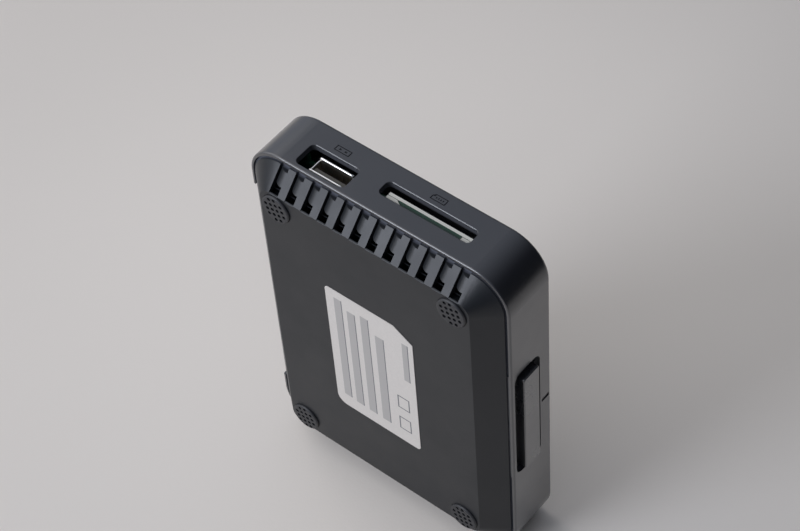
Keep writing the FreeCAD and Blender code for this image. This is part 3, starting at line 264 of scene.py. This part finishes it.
def vent_fill_and_matt(tree):
    """Two masks: a painted fill light, paler, deep in the cover's slots and in the narrow moat
    around its field; and matt in the slots and the moat.
    """
    across, through, along = case_axes(tree)
    slope = combine(tree, "ADD", through, combine(tree, "MULTIPLY", along, -border_slope),
                    vent_level)
    row = combine(tree, "MULTIPLY", ramp(tree, along, vents_from, vents_from + 0.4),
                  add(tree, "ShaderNodeMath", {0: across, 1: 0.0, 2: vents_half},
                      operation="COMPARE").outputs[0])
    moat = ramp(tree, through, moat_level, moat_level + 0.55)
    tone = combine(tree, "MULTIPLY", ramp(tree, slope, 3.0, 5.0), row)
    matt = combine(tree, "MULTIPLY", ramp(tree, slope, 0.1, 0.5), row)
    return combine(tree, "MAXIMUM", tone, moat), combine(tree, "MAXIMUM", matt, moat)


print("vents start", vents_from, "mm above the middle; border falls", border_slope)

# %% [markdown]
# Moulded plastic is not one flat colour.  The steel mould is spark-eroded, so
# the surface has a fine even grain; the pigment varies slightly over a few
# centimetres; and handling polishes it in broad patches.

# %% Moulded plastics and metals
raw_gloss = 0.95                         # roughness where the plastic is made matt


def moulded(name, dark, light, rough, grain=0.0, grain_mm=0.4, specular=0.5, coat=0.0,
            fill_and_matt=None, fill_tone="#5c5f68"):
    """A pigmented plastic between two near tones, with a grain.  An optional pair of masks
    says where a paler tone is painted in as fill light for the shade and where it is matt."""
    made, tree, output = new_material(name)
    patches = add(tree, "ShaderNodeTexNoise", {"Vector": place(tree), "Scale": 45.0,
                  "Detail": 4.0, "Roughness": 0.6}).outputs["Fac"]
    grains = add(tree, "ShaderNodeTexNoise", {"Vector": place(tree),
                 "Scale": 1 / (grain_mm * mm), "Detail": 2.0}).outputs["Fac"]
    both = add(tree, "ShaderNodeMix", {"Factor": 0.35, "A": patches, "B": grains}).outputs[0]
    tone = add(tree, "ShaderNodeMix", {"Factor": both, 6: linear(dark), 7: linear(light)},
               data_type="RGBA").outputs[2]
    gloss = add(tree, "ShaderNodeMapRange", {"Value": patches, "From Min": 0.3,
                "From Max": 0.7, "To Min": rough - 0.05, "To Max": rough + 0.05}).outputs[0]
    # The first mask paints a paler tone into the shade, a painted fill light; the second makes
    # the plastic matt.
    if fill_and_matt:
        pale, matt = fill_and_matt(tree)
        tone = add(tree, "ShaderNodeMix", {"Factor": pale, 6: tone, 7: linear(fill_tone)},
                   data_type="RGBA").outputs[2]
        gloss = add(tree, "ShaderNodeMix", {"Factor": matt, "A": gloss,
                    "B": raw_gloss}).outputs[0]
    bump = add(tree, "ShaderNodeBump", {"Height": grains, "Strength": grain,
               "Distance": 0.00005}).outputs["Normal"]
    shader = add(tree, "ShaderNodeBsdfPrincipled", {"Base Color": tone, "Roughness": gloss,
                 "Normal": bump, "Specular IOR Level": specular, "IOR": 1.5,
                 "Coat Weight": coat, "Coat Roughness": max(0.05, rough - 0.1)})
    tree.links.new(shader.outputs[0], output.inputs[0])
    return made


def metal(name, dark, light, rough, lines_mm=0.25, stretch=(1, 1, 1)):
    """A plated or rolled metal with faint drawn lines along one axis."""
    made, tree, output = new_material(name)
    lines = add(tree, "ShaderNodeTexNoise", {"Vector": place(tree, scale=stretch),
                "Scale": 1 / (lines_mm * mm), "Detail": 3.0}).outputs["Fac"]
    tone = add(tree, "ShaderNodeMix", {"Factor": lines, 6: linear(dark), 7: linear(light)},
               data_type="RGBA").outputs[2]
    gloss = add(tree, "ShaderNodeMapRange", {"Value": lines, "To Min": rough - 0.06,
                "To Max": rough + 0.08}).outputs[0]
    bump = add(tree, "ShaderNodeBump", {"Height": lines, "Strength": 0.12,
               "Distance": 0.00002}).outputs["Normal"]
    shader = add(tree, "ShaderNodeBsdfPrincipled", {"Base Color": tone, "Metallic": 1.0,
                 "Roughness": gloss, "Normal": bump})
    tree.links.new(shader.outputs[0], output.inputs[0])
    return made


def finish_nodes(material, *names):
    """Gives CAD nodes their finish through their own material slots."""
    for name in names:
        slots = nodes[name].data.materials
        slots.clear()
        slots.append(material)
    print(material.name, "on", ", ".join(names))


# The shell's inner walls are painted #3c3e45 and the cover's slots and moat the default #5c5f68:
# a painted fill light that lifts their shade.
shell_abs = moulded("abs_satin_charcoal", "#13151c", "#181a22", 0.32, 0.1, 0.5, 0.9, 0.9,
                    side_fill_and_matt, "#3c3e45")
cover_abs = moulded("abs_spark_eroded_charcoal", "#0f1319", "#13171c", 0.38, 0.25, 0.45, 0.45,
                    fill_and_matt=vent_fill_and_matt)
bar_abs = moulded("abs_satin_key", "#17181c", "#1c1d22", 0.28, 0.06, 0.4, 1.0, 1.0)
rubber = moulded("silicone_rubber_black", "#222326", "#2a2b2f", 0.5, 0.2, 0.6, 0.6)
black_nylon = moulded("nylon_glass_filled_black", "#121315", "#1a1b1d", 0.5, 0.25, 0.3)
grey_nylon = moulded("nylon_glass_filled_grey", "#4a4740", "#5a564e", 0.45, 0.25, 0.3)
white_lcp = moulded("liquid_crystal_polymer_white", "#c9c8bf", "#dddcd4", 0.45, 0.15, 0.3)
white_pom = moulded("acetal_natural_white", "#d8d7d0", "#e4e3dd", 0.35, 0.05, 0.3)
orange_pbt = moulded("pbt_orange", "#c4611f", "#d4742c", 0.4, 0.1, 0.3)
green_pbt = moulded("pbt_green", "#1e6b3c", "#2a7c49", 0.4, 0.1, 0.3)
epoxy = moulded("epoxy_moulding_black", "#17171a", "#202023", 0.6, 0.35, 0.25)
ferrite = moulded("ferrite_sintered_grey", "#3b3b3e", "#4a4a4d", 0.65, 0.4, 0.2)
pad = moulded("silicone_gap_pad_grey", "#8f969c", "#a0a7ad", 0.7, 0.2, 0.4)
ir_epoxy = moulded("epoxy_infrared_dark", "#16101a", "#1d1521", 0.15, 0.0, 0.4)
led_epoxy = moulded("epoxy_diffused_clear", "#cfd4d6", "#dfe4e6", 0.3, 0.0, 0.4)
steel = metal("steel_nickel_plated", "#e6e5e1", "#f4f3f0", 0.3)
# A lighter copy of the plated steel, used only on the USB lips as a painted highlight.
painted_highlight_steel = metal("steel_nickel_painted_highlight", "#f6f5f2", "#fdfcfa", 0.32)
stainless = metal("stainless_rolled", "#a9aaab", "#c0c1c2", 0.3, 0.3, (1, 1, 0.1))
gold = metal("copper_gold_flashed", "#c9a24a", "#dab661", 0.25)
tin = metal("copper_tinned", "#b4b6b8", "#cccdd0", 0.35)
zinc = metal("steel_black_zinc", "#2b2c2e", "#3a3b3d", 0.35)
anodised = metal("aluminium_black_anodised", "#1b1c1e", "#28292b", 0.45, 0.3, (1, 1, 0.08))
can_alloy = metal("aluminium_drawn_can", "#b7b9bb", "#cfd1d3", 0.3, 0.3)

finish_nodes(shell_abs, "top_shell")
finish_nodes(cover_abs, "bottom_cover")
finish_nodes(bar_abs, "power_bar")
finish_nodes(rubber, "foot_upper_right", "foot_upper_left", "foot_lower_right", "foot_lower_left")
finish_nodes(zinc, "case_screws", "board_screws")
finish_nodes(grey_nylon, "usb_insulator")
finish_nodes(black_nylon, "switch_body", "hdmi_tongue", "av_jack_body",
             "coax_body", "dc_body", "rear_panel")
finish_nodes(green_pbt, "component_jack_body")
finish_nodes(white_pom, "switch_plunger")
finish_nodes(white_lcp, "card_frame")
finish_nodes(orange_pbt, "coax_insert")
finish_nodes(epoxy, "processor", "memory_chips", "flash_chip", "audio_chip", "regulators")
finish_nodes(ferrite, "power_coils")
finish_nodes(pad, "thermal_pad")
finish_nodes(ir_epoxy, "ir_receiver")
finish_nodes(led_epoxy, "status_led")
finish_nodes(steel, "usb_shell", "hdmi_shell", "av_jack_bush", "component_jack_bush",
             "coax_ring", "dc_pin", "crystal")
finish_nodes(stainless, "card_cover")
finish_nodes(gold, "usb_contacts", "card_contacts")
finish_nodes(tin, "switch_legs", "chip_leads")
finish_nodes(anodised, "heatsink")
finish_nodes(can_alloy, "bulk_capacitors")

# %% [markdown]
# The board is glass-epoxy laminate under green solder mask.  Copper tracks lie
# just under the mask and show as slightly lighter lines, here drawn 0.3 mm
# wide and 2.4 mm apart, with a crossing every 7.1 mm.

# %% Printed circuit board
def board_material():
    made, tree, output = new_material("fr4_green_solder_mask")
    tracks = add(tree, "ShaderNodeTexBrick", {"Vector": place(tree),
                 "Scale": 1.0, "Color1": linear("#0a2a1e"), "Color2": linear("#0c3024"),
                 "Mortar": linear("#153f2d"), "Mortar Size": 0.0003, "Brick Width": 0.0071,
                 "Row Height": 0.0024}).outputs["Color"]
    bump = add(tree, "ShaderNodeBump", {"Height": tracks, "Strength": 0.2,
               "Distance": 0.00004}).outputs["Normal"]
    shader = add(tree, "ShaderNodeBsdfPrincipled", {"Base Color": tracks, "Roughness": 0.3,
                 "Normal": bump})
    tree.links.new(shader.outputs[0], output.inputs[0])
    return made


finish_nodes(board_material(), "main_board")


def chip_material():
    made, tree, output = new_material("ceramic_chip_tinned_ends")
    grains = add(tree, "ShaderNodeTexNoise", {"Vector": place(tree),
                 "Scale": 2500.0}).outputs["Fac"]
    tone = add(tree, "ShaderNodeMix", {"Factor": grains, 6: linear("#7b6a50"),
               7: linear("#93826a")}, data_type="RGBA").outputs[2]
    shader = add(tree, "ShaderNodeBsdfPrincipled", {"Base Color": tone, "Roughness": 0.45})
    tree.links.new(shader.outputs[0], output.inputs[0])
    return made


finish_nodes(chip_material(), "chip_parts")

# %% [markdown]
# The label is a white polyester film.  Nothing is named on it: it carries five
# plain tinted fields to write in, each with a ruled line, and two tick boxes.
# They are drawn from the distance of each point to the label's own middle, in
# millimetres, so the print stays sharp at any size.  A field or box is given
# by its middle, across and along, and a field by its two half sizes as well.

# %% Label
label_middle = (0.825, 0, -66.75)        # mm, added to bring the print's middle to zero
box_half, box_line = (2.3, 3.1), 0.45    # mm, half sizes of a tick box and its line
label_fields = [(-11.9, 0.1, 1.35, 23.9), (-7.1, -1.6, 1.4, 22.6), (-2.0, -0.9, 1.4, 23.4),
                (3.4, -3.6, 1.5, 20.8), (13.2, 12.4, 1.0, 9.0)]
tick_boxes = [(11.0, -9.6), (11.0, -20.4)]


def patch(tree, across, along, x, z, half_x, half_z):
    """1 inside a rectangle on the label and 0 outside it."""
    in_x = add(tree, "ShaderNodeMath", {0: across, 1: x, 2: half_x}, operation="COMPARE")
    in_z = add(tree, "ShaderNodeMath", {0: along, 1: z, 2: half_z}, operation="COMPARE")
    return add(tree, "ShaderNodeMath", {0: in_x.outputs[0], 1: in_z.outputs[0]},
               operation="MULTIPLY").outputs[0]


def join(tree, parts):
    """The highest of several masks."""
    whole = parts[0]
    for part in parts[1:]:
        whole = add(tree, "ShaderNodeMath", {0: whole, 1: part}, operation="MAXIMUM").outputs[0]
    return whole


def label_material():
    made, tree, output = new_material("polyester_film_white")
    at = add(tree, "ShaderNodeSeparateXYZ", {0: place(tree, label_middle,
             (1000, 1000, 1000))}).outputs
    fields = [patch(tree, at[0], at[2], x, z, w, h) for x, z, w, h in label_fields]
    rules = [patch(tree, at[0], at[2], x + w + 0.15, z, 0.17, h) for x, z, w, h in label_fields]
    for x, z in tick_boxes:
        outer = patch(tree, at[0], at[2], x, z, *box_half)
        inner = patch(tree, at[0], at[2], x, z, *[half - box_line for half in box_half])
        rules.append(add(tree, "ShaderNodeMath", {0: outer, 1: inner},
                         operation="SUBTRACT").outputs[0])
    grains = add(tree, "ShaderNodeTexNoise", {"Vector": place(tree), "Scale": 1200.0,
                 "Detail": 3.0}).outputs["Fac"]
    film = add(tree, "ShaderNodeMix", {"Factor": grains, 6: linear("#cdc8c2"),
               7: linear("#dbd6d0")}, data_type="RGBA").outputs[2]
    tinted = add(tree, "ShaderNodeMix", {"Factor": join(tree, fields), 6: film,
                 7: linear("#b0adaa")}, data_type="RGBA").outputs[2]
    printed = add(tree, "ShaderNodeMix", {"Factor": join(tree, rules), 6: tinted,
                  7: linear("#6c6d71")}, data_type="RGBA").outputs[2]
    bump = add(tree, "ShaderNodeBump", {"Height": grains, "Strength": 0.08,
               "Distance": 0.00003}).outputs["Normal"]
    shader = add(tree, "ShaderNodeBsdfPrincipled", {"Base Color": printed, "Roughness": 0.42,
                 "Normal": bump})
    tree.links.new(shader.outputs[0], output.inputs[0])
    return made


finish_nodes(label_material(), "rating_label")
print("label fields:", len(label_fields), "tick boxes:", len(tick_boxes))

# %% [markdown]
# The two wide plates of the USB socket end in rolled lips, which guide the
# plug in.  Each lip is a strip bent outwards at its mouth and rounded over.
# The lips take a lighter copy of the socket's plated steel, a painted
# highlight that makes their edge the first thing that the eye finds in the socket.

# %% Rolled lips of the USB socket
lip_half = 6.05 * mm          # along the socket's width
lip_t = 0.6 * mm
lip_drop = 1.5 * mm
lip_roll = lip_t / 2 + 0.01 * mm  # radius of the rounded edge
lip_proud = 0.02 * mm         # stands clear of the plate that it covers
end_inset = 0.25 * mm         # the ends of a lip are lower than its middle
mouth_z = 130.2 * mm
socket_x = -21.145 * mm
plates = ((-3.055 * mm, -1), (2.685 * mm, 1))     # outer face of each plate, and outwards


def rolled_lips():
    mesh = bpy.data.meshes.new("usb_lips")
    shape = bmesh.new()
    for face_y, out in plates:
        profile = [(-lip_t, -lip_drop), (lip_proud, -lip_drop)]
        for turn in range(0, 181, 20):
            angle = math.radians(turn)
            profile.append((lip_proud + lip_roll * (math.cos(angle) - 1),
                            lip_roll * (math.sin(angle) - 1)))
        rings = []
        for x in [socket_x + lip_half * k / 12 for k in range(-12, 13)]:
            inset = end_inset if abs(x - socket_x) > lip_half * 0.99 else 0.0
            rings.append([shape.verts.new((x, face_y + out * y, mouth_z + z - inset))
                          for y, z in profile])
        for a, b in zip(rings, rings[1:]):
            for i in range(len(profile)):
                j = (i + 1) % len(profile)
                shape.faces.new((a[i], a[j], b[j], b[i]))
        shape.faces.new(rings[0])
        shape.faces.new(list(reversed(rings[-1])))
    bmesh.ops.recalc_face_normals(shape, faces=shape.faces)
    shape.to_mesh(mesh)
    shape.free()
    lips = bpy.data.objects.new("usb_lips", mesh)
    bpy.context.scene.collection.objects.link(lips)
    bevel = lips.modifiers.new("soft edges", "BEVEL")
    bevel.width, bevel.segments, bevel.limit_method = 0.05 * mm, 2, "ANGLE"
    bpy.ops.object.select_all(action="DESELECT")
    bpy.context.view_layer.objects.active = lips
    lips.select_set(True)
    bpy.ops.object.modifier_apply(modifier=bevel.name)
    bpy.ops.object.shade_smooth_by_angle(angle=math.radians(50))
    # The lips take the lighter steel, a painted highlight.
    lips.data.materials.append(painted_highlight_steel)
    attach(lips, "case")
    return lips


print("usb lips:", len(rolled_lips().data.polygons), "faces")

# %% End
print("scene script done")
